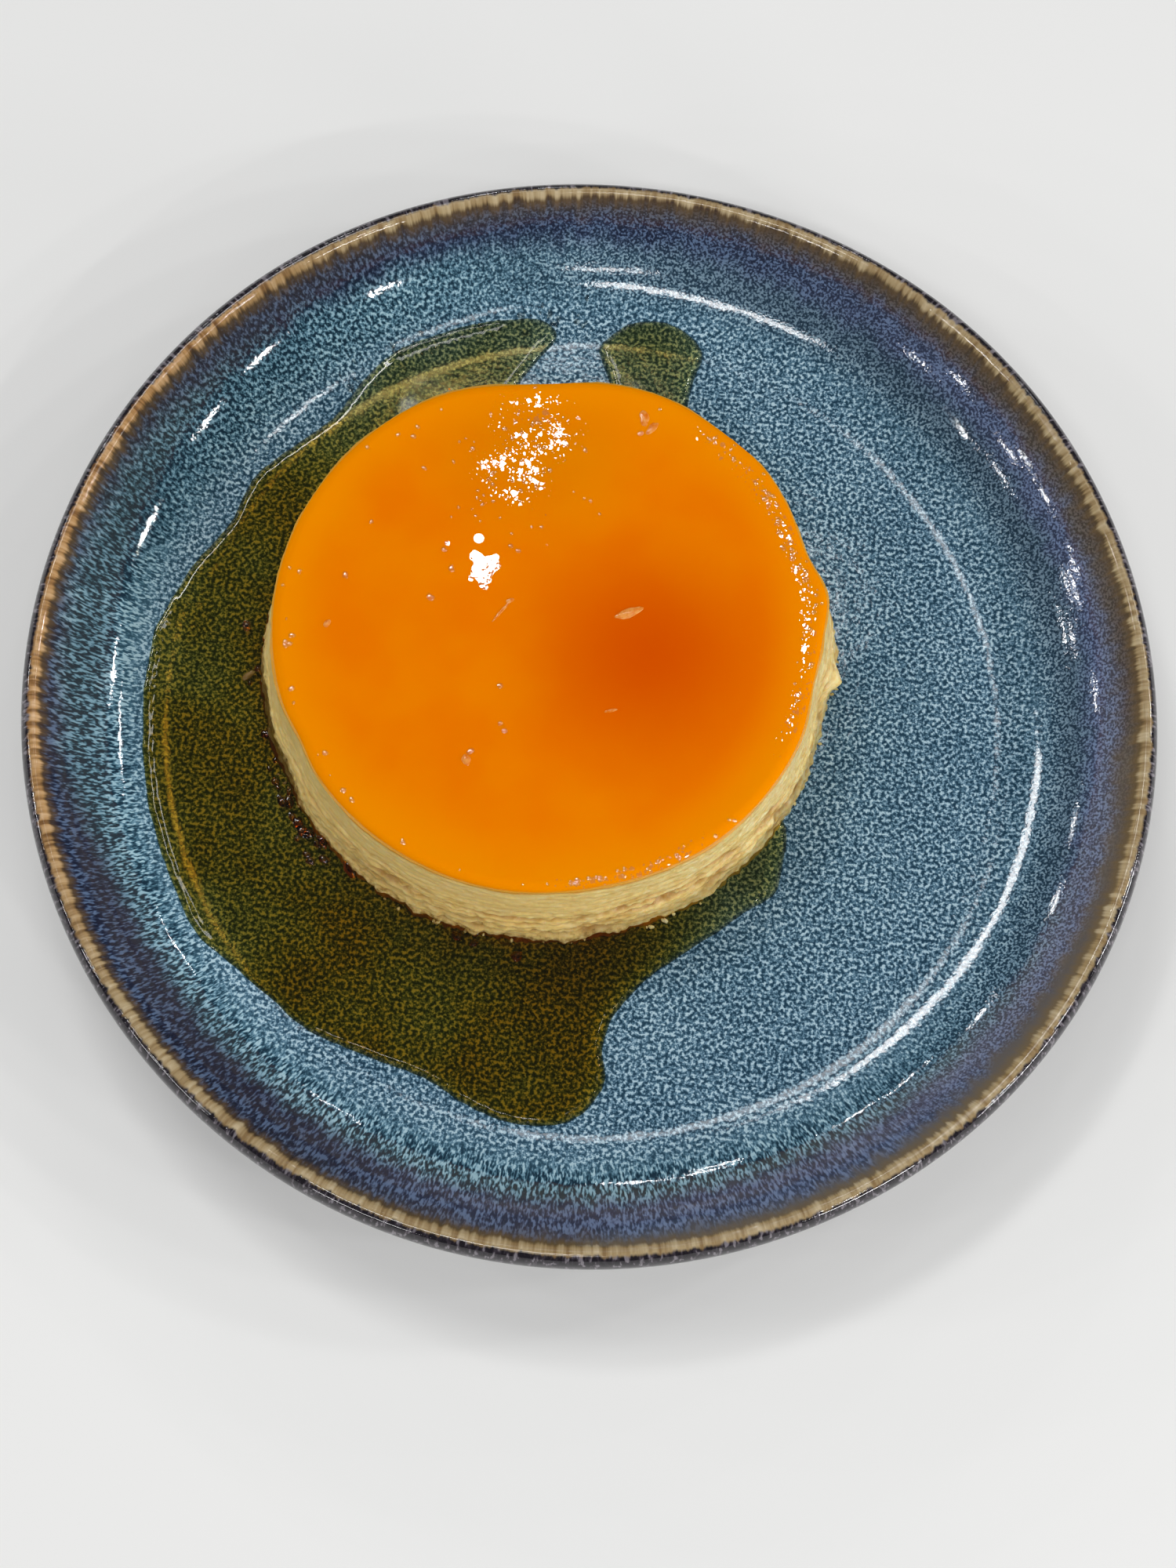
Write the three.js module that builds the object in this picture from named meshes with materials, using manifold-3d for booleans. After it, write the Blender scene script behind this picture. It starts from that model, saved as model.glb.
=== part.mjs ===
// A creme caramel flan turned out on its glazed stoneware plate.
// Millimetres, +Z up. The origin is on the table, at the centre of the plate's foot ring.
// The flan stands off the plate's centre, with two pools of caramel sauce at its foot.

import * as THREE from 'three';
import { mergeVertices } from 'three/addons/utils/BufferGeometryUtils.js';
import Module from 'manifold-3d';

const wasm = await Module();
wasm.setup();

// ---- Driving dimensions: the plate ----------------------------------------
const PLATE_RADIUS = 105;                        // outermost part of the lip
const PLATE_THICKNESS = 4.6;                     // floor and wall
const FOOT_HEIGHT = 1.9;
const FOOT_INNER_RADIUS = 58;
const FOOT_OUTER_RADIUS = 65;
const FLOOR_RADIUS = 79;                         // flat floor, out to the start of the cove
const COVE_RADIUS = 17;                          // curve from the floor up into the wall
const WALL_SLOPE = THREE.MathUtils.degToRad(47);
const RIM_HEIGHT = 17;                           // ridge of the rim above the floor
const RIDGE_RADIUS = 102.4;                      // where the rim is highest
const LIP_DROP = 4;                              // outermost part of the lip below the ridge
const FLOOR_Z = FOOT_HEIGHT + PLATE_THICKNESS;
const RIDGE_Z = FLOOR_Z + RIM_HEIGHT;

// ---- Driving dimensions: the flan -----------------------------------------
const FLAN_X = -9.8;                             // the flan's axis on the plate
const FLAN_Y = 8.2;
const FLAN_BASE_RADIUS = 54;
const FLAN_TOP_RADIUS = 50.2;
const FLAN_HEIGHT = 24;
const CARAMEL_THICKNESS = 2.1;                   // caramel-soaked layer on top
const CARAMEL_SHOULDER = 1.6;                    // rounding of its upper edge
const TOP_DOME = 0.4;                            // how much lower the top is at its edge
const FOOT_FLARE = 1.2;                          // exponent that widens the custard's foot
const SAUCE_DEPTH = 1.3;                         // pool surface above the plate's floor
const GAP = 0.3;                                 // clearance between touching pieces

// ---- Mesh resolution --------------------------------------------------------
const PLATE_SEGMENTS = 80;
const FLAN_SEGMENTS = 96;
const POOL_POINTS = 120;
const SMALL_POOL_POINTS = 36;

// ---- Outlines ---------------------------------------------------------------

// Lobes of the flan's top outline: bearing and half-width in degrees, reach in mm.
// The negative ones are the flattened far side and shallow hollows.
const FLAN_LOBES = [
  { bearing: 101, width: 15, reach: -2.1 },
  { bearing: 70, width: 11, reach: 0.6 },
  { bearing: 47, width: 10, reach: 1.0 },
  { bearing: 26, width: 6, reach: -0.6 },
  { bearing: 15, width: 5.5, reach: 1.5 },
  { bearing: -5, width: 8, reach: -1.0 },
  { bearing: -70, width: 15, reach: -0.7 },
  { bearing: -146, width: 5, reach: -0.8 },
];
const LOBES_AT_BASE = 0.4;                       // share of the lobes left at the base

// Lumps of custard that stand out of the flan's side, part of the way up.
const LUMPS = [
  { bearing: 4, width: 4.5, reach: 1.9, height: 8, spread: 7 },
  { bearing: 14, width: 8, reach: 1.2, height: 9, spread: 8 },
];

// Hand-thrown unevenness of the plate: waves round the rim, with size in mm.
const PLATE_WAVES = [
  { count: 3, size: 0.13, peak: 11 },
  { count: 4, size: 0.11, peak: -39 },
  { count: 5, size: 0.12, peak: -20 },
];

// Pool edges: bearing in degrees and reach in mm from the flan's axis. Each outline
// starts and ends under the flan, and the flan and the plate's cove trim it.
const MAIN_POOL = [
  [108, 52], [104, 58], [99, 65], [96, 69.5], [98, 72.5], [106, 73], [115, 72.4], [124, 71.5],
  [131, 68.5], [138, 66], [146, 67], [154, 68.5], [163, 67.6], [171, 70.5], [180, 73.5],
  [190, 77.5], [203, 79.5], [216, 83], [227, 83.5], [235, 81.8], [246, 82.8], [255, 82],
  [263, 82.4], [270, 86.3], [277, 87.8], [282, 86.5], [285.5, 81], [286, 74], [289, 68],
  [297, 62.8], [307, 61], [316, 60.9], [322, 61.8], [327, 59], [332, 56], [338, 52],
];
const MAIN_POOL_BACK = [[320, 44], [290, 42], [255, 42], [220, 42], [185, 42], [150, 42], [120, 44]];
const SMALL_POOL = [
  [64, 51], [68, 57], [71, 62], [72, 68], [72.5, 73], [76, 75.8], [80, 76], [84.5, 74.4],
  [87.5, 71], [89, 68], [87.5, 64], [85.5, 60], [83.5, 55], [80, 50], [72, 47],
];

// Distance between two bearings in degrees, from 0 to 180.
function bearingGap(a, b) {
  const turn = Math.abs(a - b) % 360;
  return Math.min(turn, 360 - turn);
}

function bell(distance, width) {
  return Math.exp(-((distance / width) ** 2));
}

// How far the flan's side stands out of a plain round drum, at a bearing and a height
// above its base.
function flanOffset(bearing, height) {
  const share = LOBES_AT_BASE + ((1 - LOBES_AT_BASE) * height) / FLAN_HEIGHT;
  let offset = 0;
  for (const lobe of FLAN_LOBES) {
    offset += share * lobe.reach * bell(bearingGap(bearing, lobe.bearing), lobe.width);
  }
  for (const lump of LUMPS) {
    const around = bell(bearingGap(bearing, lump.bearing), lump.width);
    offset += lump.reach * around * bell(height - lump.height, lump.spread);
  }
  return offset;
}

function plateOffset(bearing) {
  let offset = 0;
  for (const wave of PLATE_WAVES) {
    const angle = THREE.MathUtils.degToRad(wave.count * (bearing - wave.peak));
    offset += wave.size * Math.cos(angle);
  }
  return offset;
}

// ---- Geometry helpers -------------------------------------------------------

// Points along an elliptical arc in a profile plane, angles in radians from +radius.
function arcPoints(centreRadius, centreZ, sizeRadius, sizeZ, from, to, steps) {
  const points = [];
  for (let i = 0; i <= steps; i += 1) {
    const angle = from + ((to - from) * i) / steps;
    const radius = centreRadius + sizeRadius * Math.cos(angle);
    const z = centreZ + sizeZ * Math.sin(angle);
    points.push(new THREE.Vector2(radius, z));
  }
  return points;
}

// Turns a profile of (radius, z) round the Z axis, then moves each vertex out by
// offset(bearing, z, radius). The profile runs from the bottom of the axis, round the
// outside, to the top of the axis.
function turned(profile, segments, offset) {
  const geometry = new THREE.LatheGeometry(profile, segments);
  geometry.rotateX(Math.PI / 2);
  const position = geometry.attributes.position;
  for (let i = 0; i < position.count; i += 1) {
    const x = position.getX(i);
    const y = position.getY(i);
    const radius = Math.hypot(x, y);
    if (radius > GAP) {
      const bearing = THREE.MathUtils.radToDeg(Math.atan2(y, x));
      const scale = 1 + offset(bearing, position.getZ(i), radius) / radius;
      position.setXY(i, x * scale, y * scale);
    }
  }
  return welded(geometry);
}

// Merges shared vertices and drops the empty triangles at a pole.
function welded(geometry) {
  geometry.deleteAttribute('normal');
  geometry.deleteAttribute('uv');
  const merged = mergeVertices(geometry, 1e-4);
  const index = [];
  for (let i = 0; i < merged.index.count; i += 3) {
    const a = merged.index.getX(i);
    const b = merged.index.getX(i + 1);
    const c = merged.index.getX(i + 2);
    if (a !== b && b !== c && c !== a) {
      index.push(a, b, c);
    }
  }
  merged.setIndex(index);
  merged.computeVertexNormals();
  return merged;
}

function toManifold(geometry) {
  return new wasm.Manifold(new wasm.Mesh({
    numProp: 3,
    vertProperties: new Float32Array(geometry.attributes.position.array),
    triVerts: new Uint32Array(geometry.index.array),
  }));
}

function fromManifold(solid) {
  const mesh = solid.getMesh();
  const geometry = new THREE.BufferGeometry();
  geometry.setAttribute('position', new THREE.BufferAttribute(mesh.vertProperties, 3));
  geometry.setIndex(new THREE.BufferAttribute(mesh.triVerts, 1));
  geometry.computeVertexNormals();
  return geometry;
}

// ---- Plate --------------------------------------------------------------------

function plateProfile() {
  const underZ = FOOT_HEIGHT;
  const coveCentreZ = FLOOR_Z + COVE_RADIUS;
  const down = -Math.PI / 2;
  const lipWidth = PLATE_RADIUS - RIDGE_RADIUS;
  const lipZ = RIDGE_Z - LIP_DROP;

  const foot = [
    new THREE.Vector2(0, underZ),
    new THREE.Vector2(FOOT_INNER_RADIUS - 1, underZ),
    new THREE.Vector2(FOOT_INNER_RADIUS + 0.6, 0),
    new THREE.Vector2(FOOT_OUTER_RADIUS - 0.6, 0),
    new THREE.Vector2(FOOT_OUTER_RADIUS + 1, underZ),
  ];
  const outerCoveRadius = COVE_RADIUS + PLATE_THICKNESS;
  const underCove = arcPoints(
    FLOOR_RADIUS, coveCentreZ, outerCoveRadius, outerCoveRadius, down, down + WALL_SLOPE, 6,
  );
  const lip = arcPoints(
    RIDGE_RADIUS, lipZ, lipWidth, LIP_DROP, -Math.PI / 9, Math.PI / 2, 7,
  );
  const ridgeInner = new THREE.Vector2(RIDGE_RADIUS - 0.9, RIDGE_Z - 0.5);
  const cove = arcPoints(
    FLOOR_RADIUS, coveCentreZ, COVE_RADIUS, COVE_RADIUS, down + WALL_SLOPE, down, 8,
  );
  return [...foot, ...underCove, ...lip, ridgeInner, ...cove, new THREE.Vector2(0, FLOOR_Z)];
}

// The unevenness grows from nothing on the floor to its full size at the rim.
function plateWaves(bearing, z, radius) {
  const share = THREE.MathUtils.smoothstep(radius, FOOT_OUTER_RADIUS, PLATE_RADIUS);
  return plateOffset(bearing) * share;
}

const plateGeometry = turned(plateProfile(), PLATE_SEGMENTS, plateWaves);

// ---- Flan: custard below, caramel layer above ---------------------------------

const CUSTARD_BASE_Z = FLOOR_Z + GAP;
const FLAN_TOP_Z = FLOOR_Z + FLAN_HEIGHT;
const CARAMEL_BASE_Z = FLAN_TOP_Z - CARAMEL_THICKNESS;
const CUSTARD_TOP_Z = CARAMEL_BASE_Z - GAP;

// Radius of the plain round drum at a height above the plate's floor.
function drumRadius(z) {
  const up = (z - FLOOR_Z) / FLAN_HEIGHT;
  const down = Math.max(0, 1 - up);
  return FLAN_TOP_RADIUS + (FLAN_BASE_RADIUS - FLAN_TOP_RADIUS) * down ** FOOT_FLARE;
}

function sideOffset(bearing, z, radius) {
  const share = THREE.MathUtils.smoothstep(radius, 0, FLAN_TOP_RADIUS);
  return flanOffset(bearing, z - FLOOR_Z) * share;
}

// The custard's side and flat ends, grown outward and downward by a clearance.
function custardProfile(grow) {
  const rows = 8;
  const baseZ = CUSTARD_BASE_Z - grow;
  const points = [new THREE.Vector2(0, baseZ)];
  for (let i = 0; i <= rows; i += 1) {
    const z = baseZ + ((CUSTARD_TOP_Z - baseZ) * i) / rows;
    points.push(new THREE.Vector2(drumRadius(z) + grow, z));
  }
  points.push(new THREE.Vector2(0, CUSTARD_TOP_Z));
  return points;
}

function caramelProfile() {
  const shoulderZ = FLAN_TOP_Z - TOP_DOME - CARAMEL_SHOULDER;
  const flatRadius = FLAN_TOP_RADIUS - CARAMEL_SHOULDER;
  const shoulder = arcPoints(
    flatRadius, shoulderZ, CARAMEL_SHOULDER, CARAMEL_SHOULDER, 0, Math.PI / 2, 4,
  );
  const halfWay = new THREE.Vector2(flatRadius / 2, FLAN_TOP_Z - TOP_DOME / 4);
  return [
    new THREE.Vector2(0, CARAMEL_BASE_Z),
    new THREE.Vector2(drumRadius(CARAMEL_BASE_Z), CARAMEL_BASE_Z),
    ...shoulder,
    halfWay,
    new THREE.Vector2(0, FLAN_TOP_Z),
  ];
}

function placeOnFlan(geometry) {
  geometry.translate(FLAN_X, FLAN_Y, 0);
  return geometry;
}

const custardGeometry = placeOnFlan(turned(custardProfile(0), FLAN_SEGMENTS, sideOffset));
const caramelGeometry = placeOnFlan(turned(caramelProfile(), FLAN_SEGMENTS, sideOffset));

// ---- Caramel sauce: two pools, shaped by the plate and the flan ---------------

const raisedPlate = toManifold(plateGeometry).translate(0, 0, GAP);
const grownCustard = toManifold(
  placeOnFlan(turned(custardProfile(GAP), FLAN_SEGMENTS, sideOffset)),
);

// A level pool inside a smooth closed outline, cut clear of the plate and the flan.
function pool(outline, count) {
  const corners = outline.map(([bearing, reach]) => {
    const angle = THREE.MathUtils.degToRad(bearing);
    return new THREE.Vector3(FLAN_X + reach * Math.cos(angle), FLAN_Y + reach * Math.sin(angle), 0);
  });
  const edge = new THREE.CatmullRomCurve3(corners, true, 'centripetal').getPoints(count);
  edge.pop();
  const shape = new THREE.Shape(edge.map((point) => new THREE.Vector2(point.x, point.y)));
  const slab = new THREE.ExtrudeGeometry(shape, { depth: SAUCE_DEPTH, bevelEnabled: false });
  slab.translate(0, 0, FLOOR_Z);
  const level = toManifold(welded(slab));
  return fromManifold(level.subtract(raisedPlate).subtract(grownCustard));
}

const mainPoolGeometry = pool([...MAIN_POOL, ...MAIN_POOL_BACK], POOL_POINTS);
const smallPoolGeometry = pool(SMALL_POOL, SMALL_POOL_POINTS);

// ---- Materials and scene graph --------------------------------------------------

const glaze = new THREE.MeshStandardMaterial({ color: 0x4f6f86, roughness: 0.25, metalness: 0 });
const custard = new THREE.MeshStandardMaterial({ color: 0xcdb877, roughness: 0.5, metalness: 0 });
const caramel = new THREE.MeshStandardMaterial({ color: 0xe98800, roughness: 0.2, metalness: 0 });
const sauce = new THREE.MeshStandardMaterial({ color: 0x4a3d12, roughness: 0.1, metalness: 0 });

function piece(name, geometry, material) {
  const mesh = new THREE.Mesh(geometry, material);
  mesh.name = name;
  return mesh;
}

const flanOnPlate = new THREE.Group();
flanOnPlate.add(
  piece('plate', plateGeometry, glaze),
  piece('custard', custardGeometry, custard),
  piece('caramel_top', caramelGeometry, caramel),
  piece('caramel_pool_main', mainPoolGeometry, sauce),
  piece('caramel_pool_small', smallPoolGeometry, sauce),
);

export default flanOnPlate;
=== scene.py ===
"""A creme caramel flan on its glazed stoneware plate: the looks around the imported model.

Lengths are metres, in the model's frame: +Z up, origin on the table under the plate's centre.
"""

import random
from math import atan2, cos, hypot, pi, radians, sin, sqrt

import bpy
import numpy as np
from mathutils import Matrix, Vector, noise
from mathutils.bvhtree import BVHTree
from mathutils.geometry import delaunay_2d_cdt


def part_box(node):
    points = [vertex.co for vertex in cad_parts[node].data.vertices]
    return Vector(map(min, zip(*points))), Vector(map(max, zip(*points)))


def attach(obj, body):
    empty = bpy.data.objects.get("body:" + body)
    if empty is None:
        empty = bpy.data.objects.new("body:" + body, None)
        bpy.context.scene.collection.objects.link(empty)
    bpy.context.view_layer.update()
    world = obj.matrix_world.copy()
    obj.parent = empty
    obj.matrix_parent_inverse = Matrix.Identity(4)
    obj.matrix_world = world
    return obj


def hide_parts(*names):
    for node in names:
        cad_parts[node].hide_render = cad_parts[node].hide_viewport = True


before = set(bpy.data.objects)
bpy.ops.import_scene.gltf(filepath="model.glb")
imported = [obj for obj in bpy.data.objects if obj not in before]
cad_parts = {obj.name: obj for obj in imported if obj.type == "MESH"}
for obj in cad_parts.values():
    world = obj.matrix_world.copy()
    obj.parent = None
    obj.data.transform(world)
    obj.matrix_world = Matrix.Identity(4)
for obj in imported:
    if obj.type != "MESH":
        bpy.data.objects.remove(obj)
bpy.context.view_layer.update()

MM = 0.001
scene = bpy.context.scene

# ---- Sizes taken from the frame ----
CUSTARD_LOW, CUSTARD_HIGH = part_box("custard")
CARAMEL_LOW, CARAMEL_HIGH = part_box("caramel_top")
SAUCE_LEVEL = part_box("caramel_pool_main")[1].z
GAP = CARAMEL_LOW.z - CUSTARD_HIGH.z
FLOOR_Z = CUSTARD_LOW.z - GAP
RIDGE_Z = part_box("plate")[1].z
FLAN_TOP_Z = CARAMEL_HIGH.z

# ---- Sizes that the plate's and the flan's curves are worked out from ----
PLATE_RADIUS = 105 * MM
PLATE_THICKNESS = 4.6 * MM
FOOT_HEIGHT = FLOOR_Z - PLATE_THICKNESS
FOOT_INNER_RADIUS = 58 * MM
FOOT_OUTER_RADIUS = 65 * MM
FLOOR_RADIUS = 79 * MM
COVE_RADIUS = 17 * MM
WALL_SLOPE = radians(47)
BOWL_RADIUS = 76 * MM  # where the upper face leaves the flat floor
BOWL_CURVE = 26 * MM  # radius of the upper face's cove
BOWL_SLOPE = radians(35)  # where that cove goes over into the bowed wall
RIDGE_RADIUS = 102.4 * MM
LIP_DROP = 4 * MM
LIP_INSET = 0.03 * MM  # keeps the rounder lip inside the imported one
FLAN_X = -9.8 * MM
FLAN_Y = 8.2 * MM
TOP_DOME = 0.4 * MM
PLATE_WAVES = ((3, 0.13 * MM, 11), (4, 0.11 * MM, -39), (5, 0.12 * MM, -20))

# ---- Camera ----
CAMERA_LENS = 54
CAMERA_DISTANCE = 450.3 * MM
CAMERA_ELEVATION = radians(73.8)
CAMERA_ROLL = radians(8)
CAMERA_TARGET = Vector((1.3 * MM, -12.1 * MM, 0.5 * MM))
CAMERA_BACK = Vector((0, -cos(CAMERA_ELEVATION), sin(CAMERA_ELEVATION)))
CAMERA_PLACE = CAMERA_TARGET + CAMERA_BACK * CAMERA_DISTANCE
LIGHT_DISTANCE = 1.3
LOW_LIGHT_ELEVATION = 11  # degrees above the table
FILL_STRENGTH = 0.105
STAGE_SIZE = 3.0  # half the side of the floor


def smoothstep(value, low, high):
    """0 below low, 1 above high, and a smooth rise between."""
    t = np.clip((value - low) / (high - low), 0, 1)
    return t * t * (3 - 2 * t)


def bell(distance, width):
    """1 at no distance, fading smoothly to 0 a few widths away."""
    return np.exp(-((distance / width) ** 2))


def turn_between(angles, bearing):
    """The angle, 0 to pi, between each of some bearings and one other."""
    return np.abs((angles - bearing + pi) % (2 * pi) - pi)


def srgb(red, green, blue):
    """A linear colour from 0..255 display values."""
    values = []
    for part in (red, green, blue):
        share = part / 255
        values.append(share / 12.92 if share <= 0.04045 else ((share + 0.055) / 1.055) ** 2.4)
    return (*values, 1.0)


# ---- Shader graphs ----
class Graph:
    """Builds one material's nodes. Values may be numbers, colours or sockets."""

    def __init__(self, name):
        self.material = bpy.data.materials.new(name)
        self.material.use_nodes = True
        self.tree = self.material.node_tree
        self.tree.nodes.clear()
        self.output = self.tree.nodes.new("ShaderNodeOutputMaterial")

    def node(self, kind, inputs=None, **settings):
        made = self.tree.nodes.new("ShaderNode" + kind)
        for key, value in settings.items():
            setattr(made, key, value)
        for key, value in (inputs or {}).items():
            self.feed(made.inputs[key], value)
        return made

    def feed(self, socket, value):
        if isinstance(value, bpy.types.NodeSocket):
            self.tree.links.new(value, socket)
        else:
            socket.default_value = value

    def math(self, operation, a, b=0.0, clamp=False):
        made = self.node("Math", {0: a, 1: b}, operation=operation, use_clamp=clamp)
        return made.outputs[0]

    def chain(self, operation, values):
        total = values[0]
        for value in values[1:]:
            total = self.math(operation, total, value)
        return total

    def plus(self, *values):
        return self.chain("ADD", values)

    def times(self, *values):
        return self.chain("MULTIPLY", values)

    def minus(self, a, b):
        return self.math("SUBTRACT", a, b)

    def either(self, a, b):
        """The larger of two values."""
        return self.math("MAXIMUM", a, b)

    def vector(self, x, y, z):
        return self.node("CombineXYZ", {0: x, 1: y, 2: z}).outputs[0]

    def fit(self, value, low, high, to_low=0.0, to_high=1.0):
        """Maps value smoothly from low..high to to_low..to_high."""
        inputs = {0: value, 1: low, 2: high, 3: to_low, 4: to_high}
        made = self.node("MapRange", inputs, interpolation_type="SMOOTHSTEP")
        return made.outputs[0]

    def between(self, value, start, full, fade, end):
        """1 from full to fade, falling smoothly to 0 at start and at end."""
        return self.times(self.fit(value, start, full), self.fit(value, end, fade))

    def swing(self, noise, size):
        """A noise of 0 to 1 as a shift to both sides of 0."""
        return self.times(self.minus(noise, 0.5), size)

    def mix(self, share, a, b, blend="MIX"):
        made = self.node("Mix", data_type="RGBA", blend_type=blend)
        self.feed(made.inputs[0], share)
        self.feed(made.inputs[6], a)
        self.feed(made.inputs[7], b)
        return made.outputs[2]

    def ramp(self, value, *stops):
        """Colours by value. Each stop is a place and three display values."""
        made = self.node("ValToRGB", {0: value})
        elements = made.color_ramp.elements
        while len(elements) < len(stops):
            elements.new(0.5)
        for element, (place, *colour) in zip(elements, stops):
            element.position = place
            element.color = srgb(*colour)
        return made.outputs[0]

    def noise(self, vector, scale, detail=1.0, roughness=0.5, distortion=0.0):
        inputs = {
            "Vector": vector, "Scale": scale, "Detail": detail,
            "Roughness": roughness, "Distortion": distortion,
        }
        return self.node("TexNoise", inputs).outputs[0]

    def place(self):
        """The object's own coordinates in millimetres."""
        coordinates = self.node("TexCoord").outputs["Object"]
        made = self.node("VectorMath", {0: coordinates}, operation="SCALE")
        made.inputs["Scale"].default_value = 1 / MM
        return made.outputs[0]

    def parts(self, vector):
        return self.node("SeparateXYZ", {0: vector}).outputs

    def polar(self, x, y):
        """Distance from the Z axis and the bearing about it."""
        squares = self.plus(self.times(x, x), self.times(y, y))
        return self.math("SQRT", squares), self.math("ARCTAN2", y, x)

    def facing(self, bearing, degrees, low, high):
        """0 to 1 as the cosine of the turn between a bearing and a fixed one goes low to high."""
        turned = self.math("COSINE", self.minus(bearing, radians(degrees)))
        return self.fit(turned, low, high)

    def spot(self, x, y, size_x, size_y):
        """1 where x and y are 0, fading to 0 at an ellipse of that half-size."""
        reach, _ = self.polar(self.math("DIVIDE", x, size_x), self.math("DIVIDE", y, size_y))
        return self.fit(reach, 0.0, 1.0, 1.0, 0.0)

    def bump(self, height, strength, distance):
        inputs = {"Strength": strength, "Distance": distance, "Height": height}
        return self.node("Bump", inputs).outputs[0]

    def finish(self, shader):
        self.tree.links.new(shader, self.output.inputs[0])
        return self.material

    def principled(self, inputs):
        """Ends the material with an everyday surface."""
        return self.finish(self.node("BsdfPrincipled", inputs).outputs[0])


# ---- Mesh helpers ----
def add_object(name, data):
    made = bpy.data.objects.new(name, data)
    scene.collection.objects.link(made)
    return made


def add_piece(name, vertices, faces, material, replaced=()):
    """Adds a mesh that rides on the part, in place of the nodes replaced."""
    mesh = bpy.data.meshes.new(name)
    mesh.from_pydata([tuple(v) for v in vertices], [], faces)
    mesh.materials.append(material)
    mesh.polygons.foreach_set("use_smooth", [True] * len(mesh.polygons))
    mesh.update()
    piece = add_object(name, mesh)
    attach(piece, "root")
    if replaced:
        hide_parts(*replaced)
    return piece


def ring_faces(rows, columns):
    """Quads between closed rings of columns points, listed from the bottom ring up."""
    faces = []
    for row in range(rows - 1):
        low = row * columns
        for column in range(columns):
            after = (column + 1) % columns
            faces.append((low + column, low + after, low + columns + after, low + columns + column))
    return faces


def turned_mesh(rings, bottom, top):
    """Vertices and faces of a closed body from rings (rows, columns, 3) and its two poles."""
    rows, columns, _ = rings.shape
    vertices = np.concatenate([rings.reshape(-1, 3), [bottom, top]])
    faces = ring_faces(rows, columns)
    bottom_index = rows * columns
    last = (rows - 1) * columns
    for column in range(columns):
        after = (column + 1) % columns
        faces.append((after, column, bottom_index))
        faces.append((last + column, last + after, bottom_index + 1))
    return vertices, faces


def bearings(columns):
    """Evenly spaced angles round a full turn."""
    return np.arange(columns) * 2 * pi / columns


def arc(centre_r, centre_z, size_r, size_z, start, end, steps):
    """Points along an arc, both ends included."""
    angles = np.linspace(start, end, steps + 1)
    return [(centre_r + size_r * cos(a), centre_z + size_z * sin(a)) for a in angles]


def line(start, end, steps):
    """Points after start, up to end."""
    shares = np.linspace(0, 1, steps + 1)[1:]
    return [(start[0] + (end[0] - start[0]) * s, start[1] + (end[1] - start[1]) * s) for s in shares]


def bowed(start, slope, end, steps):
    """Points after start on the arc that leaves it at a slope and reaches end."""
    chord = hypot(end[0] - start[0], end[1] - start[1])
    turn = atan2(end[1] - start[1], end[0] - start[0]) - slope
    size = chord / (2 * sin(turn))
    centre_r = start[0] - size * sin(slope)
    centre_z = start[1] + size * cos(slope)
    first = slope - pi / 2
    return arc(centre_r, centre_z, size, size, first, first + 2 * turn, steps)[1:]


# ---- Plate ----
def plate_profile():
    """(radius, z) from the underside's centre, round the lip, to the floor's centre."""
    down = -pi / 2
    cove_z = FLOOR_Z + COVE_RADIUS
    outer_cove = COVE_RADIUS + PLATE_THICKNESS
    lip_z = RIDGE_Z - LIP_DROP
    points = [(8 * MM, FOOT_HEIGHT)]
    points += line(points[-1], (FOOT_INNER_RADIUS - 2 * MM, FOOT_HEIGHT), 6)
    points += arc(FOOT_INNER_RADIUS - 2 * MM, 1 * MM, 0.9 * MM, 0.9 * MM, pi / 2, 0, 4)
    points += arc(FOOT_INNER_RADIUS, 0.8 * MM, 0.8 * MM, 0.8 * MM, pi, 1.5 * pi, 5)
    points += line(points[-1], (FOOT_OUTER_RADIUS - 1.2 * MM, 0), 4)
    points += arc(FOOT_OUTER_RADIUS - 0.8 * MM, 0.9 * MM, 0.9 * MM, 0.9 * MM, down, 0, 5)
    points += arc(FOOT_OUTER_RADIUS + 1.1 * MM, 1.1 * MM, 0.8 * MM, 0.8 * MM, pi, pi / 2, 4)
    points += line(points[-1], (FLOOR_RADIUS, FOOT_HEIGHT), 4)
    points += arc(FLOOR_RADIUS, cove_z, outer_cove, outer_cove, down, down + WALL_SLOPE, 14)[1:]
    lip_width = PLATE_RADIUS - RIDGE_RADIUS - LIP_INSET
    lip = arc(RIDGE_RADIUS, lip_z, lip_width, LIP_DROP, -pi / 7, pi / 2, 20)
    points += line(points[-1], lip[0], 9)
    points += lip[1:]
    wall_top = (RIDGE_RADIUS - 1.2 * MM, RIDGE_Z - 1.1 * MM)
    points.append((RIDGE_RADIUS - 0.45 * MM, RIDGE_Z - 0.1 * MM))
    points.append((RIDGE_RADIUS - 0.85 * MM, RIDGE_Z - 0.52 * MM))
    bowl_z = FLOOR_Z + BOWL_CURVE
    cove = arc(BOWL_RADIUS, bowl_z, BOWL_CURVE, BOWL_CURVE, down + BOWL_SLOPE, down, 24)
    points += reversed(bowed(cove[0], BOWL_SLOPE, wall_top, 16))
    points += cove
    points += line(points[-1], (8 * MM, FLOOR_Z), 14)
    return points


def plate_wave(angle):
    """How far the hand-thrown rim stands out of a circle."""
    offset = np.zeros_like(angle)
    for count, size, peak in PLATE_WAVES:
        offset += size * np.cos(count * (angle - radians(peak)))
    return offset


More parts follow.
